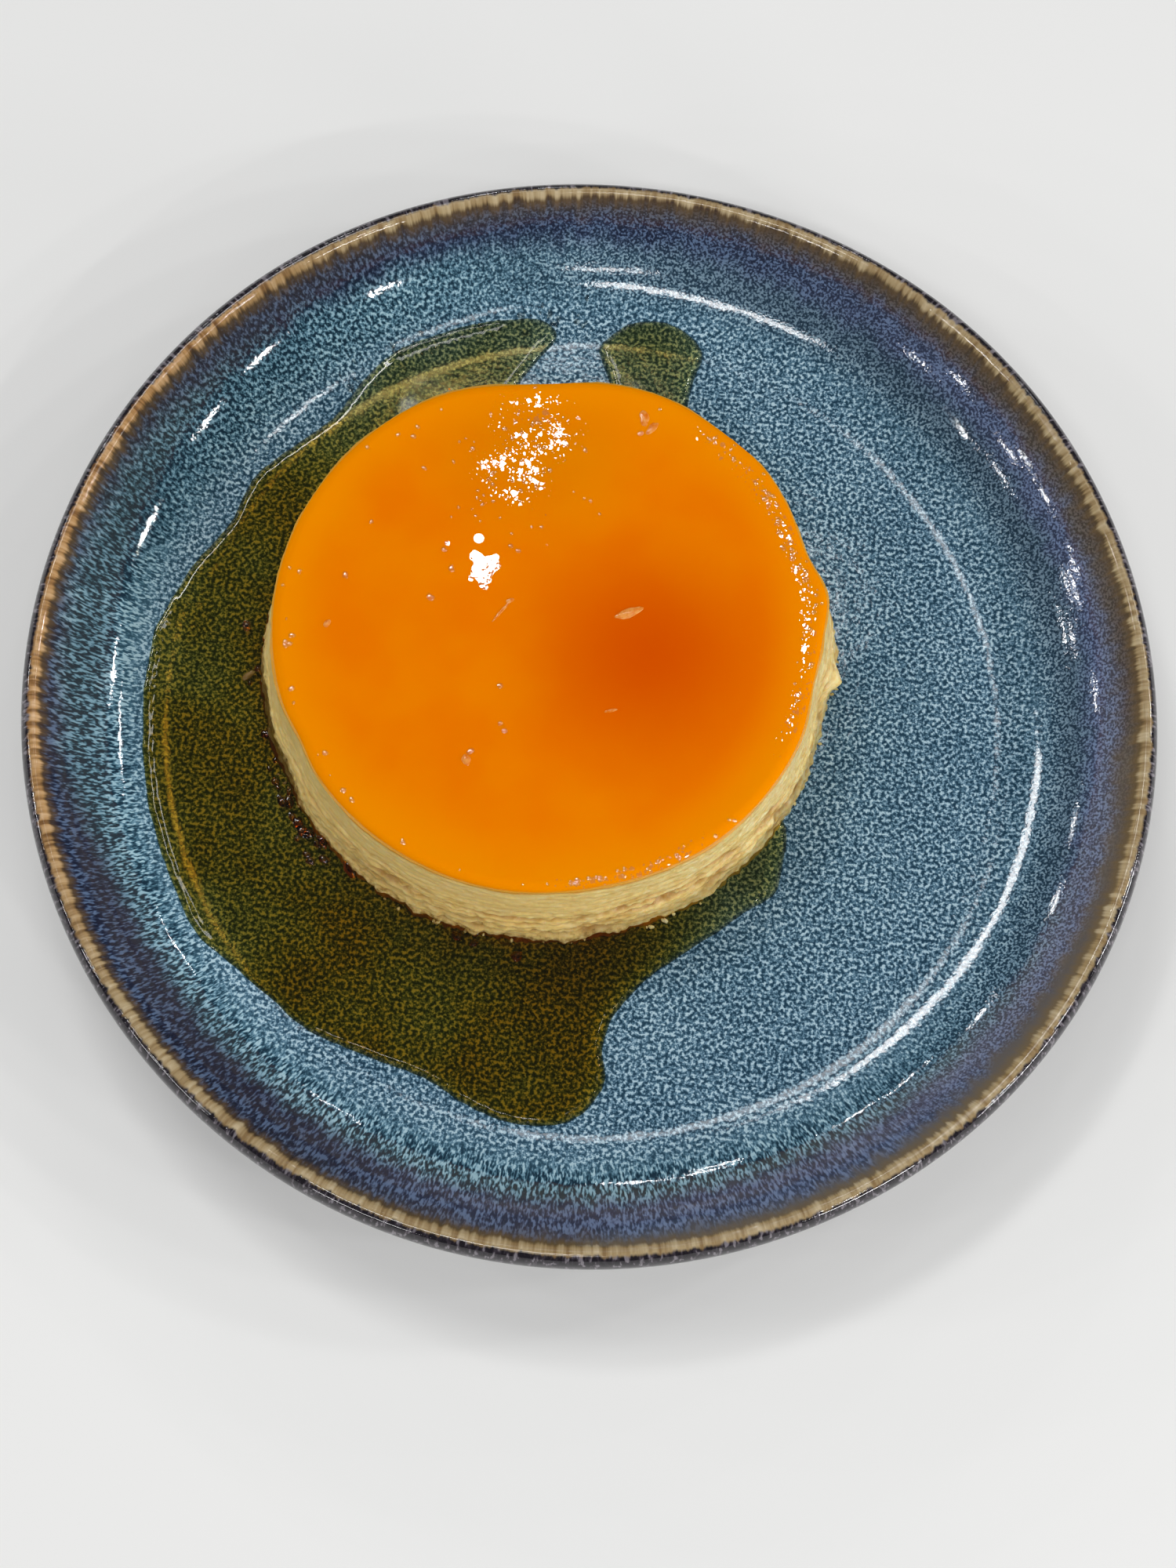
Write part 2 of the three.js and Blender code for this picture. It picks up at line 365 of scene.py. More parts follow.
def build_plate(material):
    columns = 512
    angle = bearings(columns)
    rings = []
    for radius, z in plate_profile():
        out = radius + plate_wave(angle) * smoothstep(radius, FOOT_OUTER_RADIUS, PLATE_RADIUS)
        rings.append(np.stack([out * np.cos(angle), out * np.sin(angle), np.full(columns, z)], 1))
    vertices, faces = turned_mesh(np.array(rings), (0, 0, FOOT_HEIGHT), (0, 0, FLOOR_Z))
    add_piece("stoneware_plate", vertices, faces, material, ["plate"])


def plate_surface(radius):
    """Height of the plate's upper face, its waves left out."""
    profile = np.array(plate_profile())
    face = profile[profile[:, 1].argmax():][::-1]
    return np.interp(radius, *face.T)


def glaze_material():
    g = Graph("reactive_glaze")
    place = g.place()
    x, y, z = g.parts(place)
    radius, angle = g.polar(x, y)
    along_x = g.math("COSINE", angle)
    along_y = g.math("SINE", angle)

    def drawn(reach, across):
        """Coordinates round the plate at one radius, stretched along the spokes."""
        return g.vector(g.times(along_x, reach), g.times(along_y, reach), across)

    # Specks: even grains on the floor. On the wall they are finer at the back right, and
    # drawn out into short radial runs at the front left.
    runs_place = drawn(92, g.times(radius, 0.42))
    grains = g.noise(g.vector(x, y, 0), 1.45, 2, 0.55)
    fine = g.noise(place, 2.1)
    runs = g.noise(runs_place, 2.2, 1.5, 0.5, 0.2)
    wall = g.fit(radius, 82, 90)
    plain = g.mix(g.times(wall, g.facing(angle, 30, -0.2, 0.6)), grains, fine)
    specks = g.mix(g.times(wall, g.facing(angle, 240, -0.1, 0.6)), plain, runs)
    patches = g.noise(place, 0.09, 2, 0.6)
    band = g.times(g.between(radius, 79, 83, 85, 89), g.facing(angle, 235, -0.5, 0.6))
    # A painted sheen: the glaze colour is lighter in a small patch on the left wall, round bearing 179
    # degrees and radius 85 to 92 mm.
    painted_sheen = g.times(g.between(radius, 84.5, 87, 89.5, 92), g.facing(angle, 179, 0.97, 0.995))
    shade = g.times(g.between(radius, 88, 95, 96, 99.5), g.facing(angle, 195, 0.2, 0.8))
    front_shade = g.times(g.between(radius, 87.5, 91, 93, 96), g.facing(angle, 305, 0.4, 0.95))
    shade = g.either(shade, g.times(front_shade, 0.7))
    value = g.plus(g.fit(specks, 0.38, 0.64), g.swing(patches, 0.35))
    value = g.plus(value, g.times(band, 0.11), g.times(painted_sheen, 0.2))
    value = g.math("SUBTRACT", value, g.times(shade, 0.22), True)

    floor_blue = g.ramp(value,
        (0, 34, 65, 86), (0.45, 84, 122, 146), (0.8, 136, 171, 194), (1, 190, 218, 232),
    )
    cyan = g.ramp(value,
        (0, 22, 48, 66), (0.45, 72, 114, 135), (0.8, 126, 168, 190), (1, 172, 208, 222),
    )
    dark_wall = g.ramp(value, (0, 36, 56, 74), (0.5, 70, 94, 116), (1, 116, 142, 162))
    navy = g.ramp(value, (0, 28, 36, 58), (0.5, 50, 63, 90), (1, 94, 116, 150))
    slate = g.ramp(value, (0, 56, 65, 90), (0.5, 86, 99, 132), (1, 118, 137, 174))
    umber = g.ramp(value, (0, 58, 54, 58), (1, 98, 92, 94))
    umber = g.mix(g.facing(angle, 305, 0.3, 0.95), umber, srgb(100, 93, 90))

    # Blue gives way to slate, then grey-brown, up the wall.
    line_radius = g.minus(radius, g.swing(g.noise(runs_place, 0.35, 2), 4))
    blue = g.mix(g.times(wall, g.facing(angle, 210, -0.9, 0.3)), floor_blue, cyan)
    blue = g.mix(g.times(g.fit(radius, 84, 92), g.facing(angle, 38, 0.1, 0.85)), blue, dark_wall)
    rim_tone = g.mix(g.facing(angle, 345, -0.35, 0.6), navy, slate)
    rim_start = g.plus(line_radius, g.times(g.facing(angle, 20, -0.4, 1), 2.4))
    rim_start = g.plus(rim_start, g.times(g.facing(angle, 255, 0.15, 0.9), 3.4))
    rim_start = g.minus(rim_start, g.times(g.facing(angle, 176, 0.8, 0.98), 2.6))
    body = g.mix(g.fit(rim_start, 94, 98.4), blue, rim_tone)
    grey_start = g.plus(line_radius, g.times(g.facing(angle, 12, 0.3, 1), 0.9))
    greyed = g.times(g.fit(grey_start, 97.4, 100.6), g.facing(angle, 10, -0.9, 0.5))
    body = g.mix(greyed, body, umber)

    # The glaze breaks brown, then tan, where it runs thin over the rim.
    rays = g.noise(drawn(102, g.times(radius, 0.12)), 0.85, 2, 0.6)
    warm = g.facing(angle, 172, 0.6, 0.95)
    brown = g.ramp(rays, (0.3, 66, 52, 44), (0.7, 104, 84, 62))
    brown = g.mix(g.facing(angle, 313, 0.3, 0.95), brown, srgb(118, 98, 68))
    pale_tan = g.ramp(rays, (0.32, 136, 110, 74), (0.5, 170, 148, 110), (0.7, 198, 180, 146))
    amber_tan = g.ramp(rays, (0.32, 116, 78, 42), (0.5, 184, 142, 92), (0.7, 212, 176, 134))
    tan = g.mix(warm, pale_tan, amber_tan)
    rim_radius = g.plus(radius, g.swing(rays, 1.8))
    body = g.mix(g.fit(rim_radius, 99.4, 101.2), body, brown)
    body = g.mix(g.fit(rim_radius, 100.9, 101.6), body, tan)

    # Outside the ridge: dark, with pale specks that run down the wall.
    outer_place = drawn(104, g.times(z, 0.55))
    outer_specks = g.fit(g.noise(outer_place, 1.3, 1.5, 0.6), 0.4, 0.7)
    outer = g.ramp(outer_specks, (0, 28, 24, 30), (0.6, 56, 50, 57), (1, 122, 116, 122))
    outer_start = g.plus(rim_radius, g.times(g.facing(angle, 100, -0.3, 0.7), 0.5))
    body = g.mix(g.fit(outer_start, 102.7, 103.4), body, outer)
    normal_z = g.parts(g.node("NewGeometry").outputs["Normal"])[2]
    under = g.math("LESS_THAN", normal_z, -0.05)
    body = g.mix(under, body, outer)
    # The foot ring's resting edge is bare clay.
    clay = g.ramp(g.noise(place, 0.8, 3, 0.6), (0.3, 150, 126, 100), (0.7, 186, 164, 136))
    bare = g.math("LESS_THAN", z, 0.75)
    body = g.mix(bare, body, clay)

    rough = g.fit(bare, 0, 1, 0.05, 0.8)
    swells = g.times(g.noise(place, 0.14), 2)
    ripple = g.plus(g.noise(place, 0.5, 2), g.times(value, 0.1), swells)
    return g.principled({
        "Base Color": body, "Roughness": rough, "IOR": 1.5,
        "Normal": g.bump(ripple, 0.12, 0.25 * MM),
    })


# ---- Flan outline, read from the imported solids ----
def side_radius(node, angles, height):
    """Distance from the flan's axis to a node's outer side, at each bearing and one height."""
    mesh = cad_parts[node].data
    tree = BVHTree.FromPolygons(
        [v.co for v in mesh.vertices], [tuple(p.vertices) for p in mesh.polygons],
    )
    reach = 2 * PLATE_RADIUS
    radii = []
    for angle in angles:
        way = Vector((cos(angle), sin(angle), 0))
        start = Vector((FLAN_X, FLAN_Y, height)) + way * reach
        hit = tree.ray_cast(start, -way, reach)
        radii.append(reach - hit[3] if hit[0] is not None else 0.0)
    return np.array(radii)


def smooth_round(values, reach):
    """Averages each value with its neighbours round a closed ring."""
    total = np.zeros_like(values)
    for step in range(-reach, reach + 1):
        total += np.roll(values, step)
    return total / (2 * reach + 1)


def wavy(x, y, z):
    """Smooth noise, about -1 to 1, that varies over a distance of about 1."""
    return noise.noise(Vector((x, y, z)))


def flan_ring(radius, angle, z):
    """Points round the flan's axis. radius and z are one value, or one for each bearing."""
    z = np.broadcast_to(z, angle.shape)
    return np.stack([FLAN_X + radius * np.cos(angle), FLAN_Y + radius * np.sin(angle), z], 1)


def from_axis(bearing, reach):
    """The point at a bearing and a distance from the flan's axis."""
    return FLAN_X + reach * cos(bearing), FLAN_Y + reach * sin(bearing)


# ---- Custard ----
CUSTARD_COLUMNS = 900
CUSTARD_ROWS = 72
CARAMEL_EDGE_Z = CARAMEL_LOW.z
SIDE_REACH = 52  # the side's usual radius in mm, to turn bearings into lengths


def custard_pits():
    """Pores, pits and tears in the custard's side.

    Each is a bearing, height share, width, height, depth and how much painted shade darkens it.
    """
    rng = random.Random(11)
    pits = []

    def add(count, turn, up, width, tall, depth, pit_shade_share):
        for _ in range(count):
            place = radians(rng.uniform(*turn)), rng.uniform(*up)
            size = [rng.uniform(*span) * MM for span in (width, tall, depth)]
            pits.append((*place, *size, pit_shade_share))

    add(260, (-180, 180), (0.0, 0.45), (0.5, 1.3), (0.25, 0.7), (0.12, 0.4), 0.2)
    add(200, (-180, 180), (0.4, 0.95), (0.4, 1.1), (0.2, 0.5), (0.08, 0.26), 0.15)
    add(50, (-75, 20), (0.08, 0.55), (0.9, 2.4), (0.4, 0.9), (0.5, 1.0), 0.9)
    add(60, (-125, -20), (0.1, 0.45), (2.0, 5.5), (0.22, 0.45), (0.45, 0.9), 1.0)
    add(90, (-130, -15), (0.3, 0.62), (1.2, 3.2), (0.22, 0.42), (0.3, 0.6), 0.85)
    add(60, (20, 235), (0.08, 0.5), (1.2, 4.5), (0.25, 0.7), (0.3, 0.7), 0.8)
    return pits


# Lumps that stand out of the side: bearing, height above the floor, half-width, half-height
# and reach, in degrees and millimetres.
CUSTARD_LUMPS = (
    (3, 6.5, 1.8, 2.2, 1.6), (10, 4.0, 2.6, 1.6, 1.2), (-4, 3.2, 2.4, 1.4, 0.6),
    (16, 8.5, 2.6, 2.2, 0.6), (-22, 2.4, 3.0, 1.5, 0.6), (-48, 2.0, 3.4, 1.2, 0.6),
    (-78, 1.6, 2.6, 1.2, 0.7), (-96, 2.2, 1.6, 1.4, 0.8), (-118, 1.8, 2.2, 1.2, 0.5),
)


def build_custard(material):
    columns = CUSTARD_COLUMNS
    angle = bearings(columns)
    low, high = FLOOR_Z, CARAMEL_EDGE_Z + 0.5 * MM
    heights = np.linspace(low, high, CUSTARD_ROWS)
    cad_levels = np.linspace(CUSTARD_LOW.z + 0.05 * MM, CUSTARD_HIGH.z - 0.05 * MM, 9)
    cad_radii = np.array([smooth_round(side_radius("custard", angle, level), 4) for level in cad_levels])
    base = np.array([
        [np.interp(height, cad_levels, cad_radii[:, c]) for c in range(columns)] for height in heights
    ])
    relief = np.zeros_like(base)
    for row, height in enumerate(heights):
        up = (height - low) / (high - low)
        rough = float(1 - smoothstep(up, 0.25, 0.75))
        foot = bell(height - low, 2.2 * MM)
        for column, a in enumerate(angle):
            u = a * SIDE_REACH
            h = height / MM
            layer = wavy(u * 0.22, h * 1.3, 3) * 0.15
            grain = wavy(u * 0.55, h * 0.8, 17) * 0.26 + wavy(u * 1.4, h * 1.7, 23) * 0.13
            swell = wavy(u * 0.09, h * 0.12, 31) * 0.35
            ragged = 0.3 + wavy(u * 0.3, 0, 41) * 0.7 + wavy(u * 0.95, 0, 43) * 0.5
            relief[row, column] = (layer + grain * (0.3 + rough) + swell) * MM + foot * ragged * MM
    for bearing, height, width, tall, reach in CUSTARD_LUMPS:
        around = turn_between(angle, radians(bearing)) * SIDE_REACH
        level = (heights - low) / MM - height
        relief += reach * MM * bell(around, width)[None, :] * bell(level, tall)[:, None]
    # Painted shade: how much darker each point of the side is made inside the pits and tears.
    pit_shade = np.zeros_like(base)
    for pit_angle, up, width, tall, depth, pit_shade_share in custard_pits():
        around = turn_between(angle, pit_angle) * SIDE_REACH * MM
        touched = around < 2.5 * width
        wander = 0.5 * MM * np.array([wavy(a * 30, up * 40, 61) for a in angle[touched]])
        level = low + up * (high - low) + wander
        dent = bell(around[touched], width)[None, :] * bell(heights[:, None] - level[None, :], tall)
        relief[:, touched] -= depth * dent
        pit_shade[:, touched] += pit_shade_share * dent
    radii = base + relief
    rings = [flan_ring(radii[0] * share, angle, low) for share in (0.3, 0.6, 0.85, 0.96)]
    rings += [flan_ring(out, angle, height) for out, height in zip(radii, heights)]
    rings += [flan_ring(radii[-1] * share, angle, high) for share in (0.97, 0.85, 0.6, 0.3)]
    vertices, faces = turned_mesh(np.array(rings), (FLAN_X, FLAN_Y, low), (FLAN_X, FLAN_Y, high))
    piece = add_piece("custard_drum", vertices, faces, material, ["custard"])
    # The pits' painted shade goes to the material as a point attribute.
    shade = np.zeros(len(vertices))
    shade[4 * columns:4 * columns + pit_shade.size] = np.clip(pit_shade, 0, 1).ravel()
    piece.data.attributes.new("pit_shade", "FLOAT", "POINT").data.foreach_set("value", shade)


def custard_material():
    g = Graph("set_custard")
    place = g.place()
    x, y, z = g.parts(place)
    _, bearing = g.polar(g.minus(x, FLAN_X / MM), g.minus(y, FLAN_Y / MM))
    rise = g.minus(z, FLOOR_Z / MM)
    flat = g.vector(x, y, g.times(z, 5))
    layers = g.noise(flat, 0.25, 3, 0.6)
    mottle = g.noise(place, 0.9, 3, 0.6)
    tone = g.plus(g.times(layers, 0.5), g.times(mottle, 0.5))
    pale = g.ramp(tone, (0.34, 214, 172, 90), (0.5, 244, 213, 136), (0.66, 254, 239, 184))
    pit_shade = g.node("Attribute", attribute_name="pit_shade").outputs["Fac"]
    pale = g.mix(g.times(g.facing(bearing, -120, 0.1, 0.9), 0.6), pale, srgb(240, 204, 124))
    # Painted shade: the custard is darker and browner inside its pits and tears.
    pale = g.mix(g.times(pit_shade, 0.8), pale, srgb(168, 116, 42))
    # The foot has soaked up sauce where it stands in the pool.
    soaked = g.ramp(mottle, (0.35, 136, 102, 44), (0.65, 190, 152, 84))
    # Round bearing -157 degrees the soaked foot is darker and reaches higher: partly soaked sauce,
    # partly painted shade.
    steeped_and_shaded = g.facing(bearing, -157, 0.94, 1)
    soaked = g.mix(steeped_and_shaded, soaked, srgb(104, 78, 26))
    wet = g.minus(g.plus(rise, g.swing(mottle, 5)), g.times(steeped_and_shaded, 3.4))
    in_sauce = g.facing(bearing, -142, 0.08, 0.42)
    body = g.mix(g.times(g.fit(wet, 3.2, 0.6), in_sauce), pale, soaked)
    stained = srgb(230, 160, 52)
    up = g.plus(z, g.swing(layers, 1.6))
    body = g.mix(g.fit(up, CARAMEL_EDGE_Z / MM - 1, CARAMEL_EDGE_Z / MM + 0.1), body, stained)
    return g.principled({
        "Base Color": body, "Roughness": 0.34, "IOR": 1.38,
        "Subsurface Weight": 0.35, "Subsurface Radius": (1, 0.55, 0.2), "Subsurface Scale": 2.2 * MM,
        "Normal": g.bump(g.noise(place, 1.5, 3, 0.55), 0.3, 0.4 * MM),
    })


# ---- Caramel layer ----
CARAMEL_COLUMNS = 640
SHOULDER_WIDTH = 1.9 * MM
SHOULDER_DROP = 1.1 * MM


def caramel_drop(inset, share):
    """How far the top lies below its highest level, by distance in from the edge."""
    run = np.clip(1 - inset / SHOULDER_WIDTH, 0, 1)
    return SHOULDER_DROP * (1 - np.sqrt(1 - run**2)) + TOP_DOME * share**2


def caramel_waves(x, y):
    """Slight unevenness of the set top, never above its highest level."""
    u, v = (x - FLAN_X) / MM, (y - FLAN_Y) / MM
    return (0.12 * (1 + wavy(u * 0.06, v * 0.06, 2)) + 0.02 * (1 + wavy(u * 0.25, v * 0.25, 6))) * MM


def caramel_height(x, y):
    """The caramel's upper surface at a point over the flan."""
    reach = hypot(x - FLAN_X, y - FLAN_Y)
    edge = caramel_edge(atan2(y - FLAN_Y, x - FLAN_X))
    inset = max(edge - reach, 0.0)
    waves = caramel_waves(x, y) * float(smoothstep(inset, 0, 3 * SHOULDER_WIDTH))
    return FLAN_TOP_Z - float(caramel_drop(inset, reach / edge)) - waves


def build_caramel(material, outline):
    columns = CARAMEL_COLUMNS
    angle = bearings(columns)
    rings = []

    def ring(radius, z):
        rings.append(flan_ring(radius, angle, z))

    low = np.full(columns, CARAMEL_LOW.z - 0.4 * MM)
    for share in (0.4, 0.8, 0.95):
        ring(outline * share, low)
    ragged = np.array([
        wavy(cos(a) * 9, sin(a) * 9, 5)
        + 0.5 * wavy(cos(a) * 26, sin(a) * 26, 8)
        for a in angle
    ])
    edge_z = CARAMEL_LOW.z + (0.05 + 0.3 * ragged) * MM
    ring(outline - 0.7 * MM, edge_z - 0.3 * MM)
    ring(outline - 0.22 * MM, edge_z - 0.18 * MM)
    top_edge_z = FLAN_TOP_Z - TOP_DOME - SHOULDER_DROP
    for share in (0.0, 0.5, 0.9):
        ring(outline, edge_z + (top_edge_z - edge_z) * share)
    insets = SHOULDER_WIDTH * (1 - np.cos(np.linspace(0, pi / 2, 13))) + 0.04 * MM
    for inset in insets:
        ring(outline - inset, low)
    for share in np.linspace(1, 0.02, 100)[1:]:
        ring((outline - insets[-1]) * share, low)
    for row in rings[-(len(insets) + 99):]:
        row[:, 2] = [caramel_height(x, y) for x, y in row[:, :2]]
    top = float(np.mean(rings[-1][:, 2]))
    vertices, faces = turned_mesh(np.array(rings), (FLAN_X, FLAN_Y, low[0]), (FLAN_X, FLAN_Y, top))
    add_piece("caramel_layer", vertices, faces, material, ["caramel_top"])


def caramel_material(name, beaded=False):
    """Caramel gel with wet spots, or with its whole surface wet for a bead of syrup."""
    g = Graph(name)
    place = g.place()
    x, y, z = g.parts(place)
    dx = g.minus(x, FLAN_X / MM)
    dy = g.minus(y, FLAN_Y / MM)
    away, bearing = g.polar(dx, dy)

    def shifted(centre_x, centre_y):
        return g.minus(dx, centre_x), g.minus(dy, centre_y)

    cloud = g.noise(place, 0.05, 2)
    body = g.mix(g.fit(cloud, 0.35, 0.65), srgb(242, 122, 0), srgb(245, 132, 0))
    body = g.mix(g.spot(*shifted(19, -3), 34, 33), body, srgb(220, 84, 0))
    body = g.mix(g.times(g.spot(*shifted(-8, 34), 26, 24), 0.7), body, srgb(228, 136, 0))
    body = g.mix(g.times(g.fit(away, 38, 49), 0.75), body, srgb(249, 147, 0))
    rind = g.plus(z, g.times(g.noise(place, 0.5, 2), 0.8))
    edge_z = CARAMEL_EDGE_Z / MM
    body = g.mix(g.fit(rind, edge_z + 1.5, edge_z + 0.3), body, srgb(246, 172, 62))

    # Wet spots stand out sharply from the satin gel around them.
    back_crowd = g.spot(*shifted(-7.5, 38), 14, 13)
    crowd = g.either(back_crowd, g.spot(*shifted(-11, 28.5), 12, 11))
    broken = g.fit(g.noise(place, 0.2), 0.35, 0.55, 0.35, 1)
    right_rim = g.times(g.between(away, 45.2, 46.6, 48.8, 49.2), g.facing(bearing, 20, 0.65, 0.85))
    front_rim = g.times(g.between(away, 47, 48, 49.9, 50.2), g.facing(bearing, -63, 0.92, 0.98))
    rim = g.either(right_rim, front_rim)
    wetness = g.either(g.times(g.fit(crowd, 0, 0.8), broken, 0.85), g.times(rim, 0.64))
    astray_y = g.plus(y, g.times(g.noise(place, 1.1), 1.3))
    astray = g.vector(g.plus(x, g.noise(place, 0.9)), astray_y, 0)

    def dots(scale, largest):
        """Wet dots on a scatter of cells: more of them, and larger, the wetter the place."""
        inputs = {"Vector": astray, "Scale": scale}
        cell = g.node("TexVoronoi", inputs, voronoi_dimensions="2D")
        drawn_lot = g.parts(cell.outputs["Color"])[0]
        size = g.times(g.minus(wetness, drawn_lot), largest)
        return g.fit(g.minus(size, cell.outputs["Distance"]), 0, 0.03)

    wet = g.either(dots(0.62, 0.62), dots(1.5, 0.6))
    star, star_turn = g.polar(*shifted(-13.6, 9))
    arms = g.times(g.math("COSINE", g.plus(g.times(star_turn, 4), 0.7)), 0.8)
    star = g.plus(star, g.plus(arms, g.swing(g.noise(place, 0.4), 7)))
    wet = g.either(wet, g.fit(star, 2.85, 2.75))
    for drop_x, drop_y, drop_size in ((-15, 14.6, 1), (-20.6, 12.8, 0.55)):
        drop, _ = g.polar(*shifted(drop_x, drop_y))
        wet = g.either(wet, g.fit(drop, drop_size, drop_size - 0.08))
    if beaded:
        wet = 0.75
    lumpy = g.plus(g.times(right_rim, 0.2), 0.14)
    wet_normal = g.bump(g.noise(place, 1.1), lumpy, 0.09 * MM)
    return g.principled({
        "Base Color": body, "Roughness": 0.3, "IOR": 1.4, "Specular IOR Level": 0,
        "Coat Weight": wet, "Coat Roughness": 0.02, "Coat IOR": 3, "Coat Normal": wet_normal,
        "Subsurface Weight": 0.15, "Subsurface Radius": (1, 0.35, 0.05), "Subsurface Scale": 2 * MM,
        "Normal": g.bump(g.noise(place, 0.8, 2), 0.05, 0.3 * MM),
    })


# ---- Caramel sauce ----
SAUCE_DEPTH = SAUCE_LEVEL - FLOOR_Z
SAUCE_FILM = 0.5 * MM  # how thick the sauce stays where the plate rises under it
BEAD_WIDTH = 1.5 * MM  # how far in from its edge the sauce reaches full depth
POOL_INSETS = (0.08, 0.18, 0.32, 0.52, 0.8, 1.15, 1.6)
BLOB_SINK = 0.03 * MM  # how far small things reach into what they lie on


def plate_height(x, y):
    """The plate's upper surface under a point inside its wall."""
    radius = np.hypot(x, y)
    wave = plate_wave(np.arctan2(y, x)) * smoothstep(radius, FOOT_OUTER_RADIUS, PLATE_RADIUS)
    return plate_surface(radius - wave)


def top_outline(node):
    """The outline of a node's flat top, as a closed loop of points."""
    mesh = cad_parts[node].data
    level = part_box(node)[1].z - 0.05 * MM
    edges = set()
    for polygon in mesh.polygons:
        points = [mesh.vertices[i].co for i in polygon.vertices]
        if min(p.z for p in points) < level:
            continue
        keys = [(round(p.x * 1e6), round(p.y * 1e6)) for p in points]
        for start, end in zip(keys, keys[1:] + keys[:1]):
            if (end, start) in edges:
                edges.remove((end, start))
            else:
                edges.add((start, end))
    follow = dict(edges)
    first = min(follow)
    loop = [first]
    while follow[loop[-1]] != first:
        loop.append(follow[loop[-1]])
    return np.array(loop) / 1e6


def even_loop(loop, spacing):
    """The same closed loop with evenly spaced points."""
    closed = np.concatenate([loop, loop[:1]])
    steps = np.hypot(*np.diff(closed, axis=0).T)
    run = np.concatenate([[0], np.cumsum(steps)])
    places = np.arange(0, run[-1], spacing)
    return np.stack([np.interp(places, run, closed[:, k]) for k in (0, 1)], 1)


def outward(loop):
    """The unit normals of a counter-clockwise loop."""
    along = np.roll(loop, -1, 0) - np.roll(loop, 1, 0)
    along /= np.hypot(*along.T)[:, None]
    return np.stack([along[:, 1], -along[:, 0]], 1)


def edge_distance(points, loop):
    """How far each point is from the loop, and whether it is inside."""
    start, end = loop, np.roll(loop, -1, 0)
    along = end - start
    nearest = np.full(len(points), 1.0)
    inside = np.zeros(len(points), bool)
    for a, b, step in zip(start, end, along):
        share = np.clip((points - a) @ step / (step @ step), 0, 1)
        away = points - a - share[:, None] * step
        nearest = np.minimum(nearest, np.hypot(*away.T))
        crosses = (a[1] > points[:, 1]) != (b[1] > points[:, 1])
        if crosses.any():
            cut = a[0] + (points[:, 1] - a[1]) * step[0] / (step[1] if step[1] else 1e-12)
            inside ^= crosses & (points[:, 0] < cut)
    return nearest, inside


def sauce_creep(to_foot):
    """How far the sauce climbs as it nears the custard."""
    return 0.16 * MM * np.exp(-np.clip(to_foot, 0, 1) / (0.8 * MM))


def foot_distance(x, y):
    """How far points lie outside the custard's foot."""
    x = x - FLAN_X
    y = y - FLAN_Y
    return np.hypot(x, y) - custard_foot(np.arctan2(y, x))


def build_pool(name, node, material, seed):
    loop = even_loop(top_outline(node), 0.45 * MM)
    away = loop - (FLAN_X, FLAN_Y)
    hidden = 1 - smoothstep(foot_distance(*loop.T), 0.5 * MM, 1.5 * MM)
    loop = (FLAN_X, FLAN_Y) + away * (1 - hidden * 3 * MM / np.hypot(*away.T))[:, None]
    for _ in range(3):
        loop = (np.roll(loop, 1, 0) + 2 * loop + np.roll(loop, -1, 0)) / 4
    x, y = (loop / MM).T
    stray = np.array([
        0.32 * wavy(a * 0.17, b * 0.17, seed) + 0.14 * wavy(a * 0.6, b * 0.6, seed + 5)
        for a, b in zip(x, y)
    ])
    loop = loop + outward(loop) * (stray * (1 - hidden) * MM)[:, None]

    rings = [loop - outward(loop) * inset * MM for inset in POOL_INSETS]
    low, high = loop.min(0), loop.max(0)
    spacing = 1.0 * MM
    grid = np.stack(np.meshgrid(
        np.arange(low[0], high[0], spacing), np.arange(low[1], high[1], spacing)), -1)
    grid[1::2, :, 0] += spacing / 2
    inner = np.concatenate(rings + [grid.reshape(-1, 2)])
    distance, inside = edge_distance(inner, loop)
    ring_least = np.repeat(POOL_INSETS, len(loop)) * 0.85 * MM
    grid_least = np.full(grid.size // 2, POOL_INSETS[-1] * 1.2 * MM)
    least = np.concatenate([ring_least, grid_least])
    inner = inner[inside & (distance > least)]
    points = np.concatenate([loop, inner]) / MM
    count = len(loop)
    edges = [(i, (i + 1) % count) for i in range(count)]
    cut = delaunay_2d_cdt([Vector(p) for p in points], edges, [], 1, 1e-4)
    flat = np.array([tuple(v) for v in cut[0]]) * MM
    triangles = cut[2]

    distance, _ = edge_distance(flat, loop)
    ground = plate_height(*flat.T)
    rise = (1 - (1 - np.clip(distance / BEAD_WIDTH, 0, 1)) ** 2) ** 0.8
    depth = np.maximum(SAUCE_LEVEL - ground, SAUCE_FILM) * rise
    to_foot = foot_distance(*flat.T)
    depth += sauce_creep(to_foot) * rise
    depth += 0.02 * MM * np.array([wavy(a * 160, b * 160, seed + 9) for a, b in flat]) * rise
    on_edge = distance < 0.01 * MM
    top_z = ground + np.where(on_edge, -0.06 * MM, depth)
    size = len(flat)
    vertices = np.concatenate([np.column_stack([flat, z]) for z in (top_z, ground - 0.3 * MM)])
    faces = [tuple(t) for t in triangles]
    faces += [tuple(size + i for i in reversed(t)) for t in triangles]
    sides = {}
    for t in triangles:
        for start, end in zip(t, t[1:] + t[:1]):
            if (end, start) in sides:
                del sides[(end, start)]
            else:
                sides[(start, end)] = True
    faces += [(end, start, size + start, size + end) for start, end in sides]
    piece = add_piece(name, vertices, faces, material, [node])
    shade = piece.data.attributes.new("depth", "FLOAT", "POINT")
    # A darker tint close to the custard's foot, beyond the sauce's real depth: partly a darker stain of
    # sauce, partly painted shade.
    foot_stain_and_shade = 0.22 * np.exp(-np.clip(to_foot, 0, 1) / (1.6 * MM))
    strength = np.maximum(depth / SAUCE_DEPTH, 0.78 * rise)
    shade.data.foreach_set("value", np.tile(strength + foot_stain_and_shade * rise, 2))


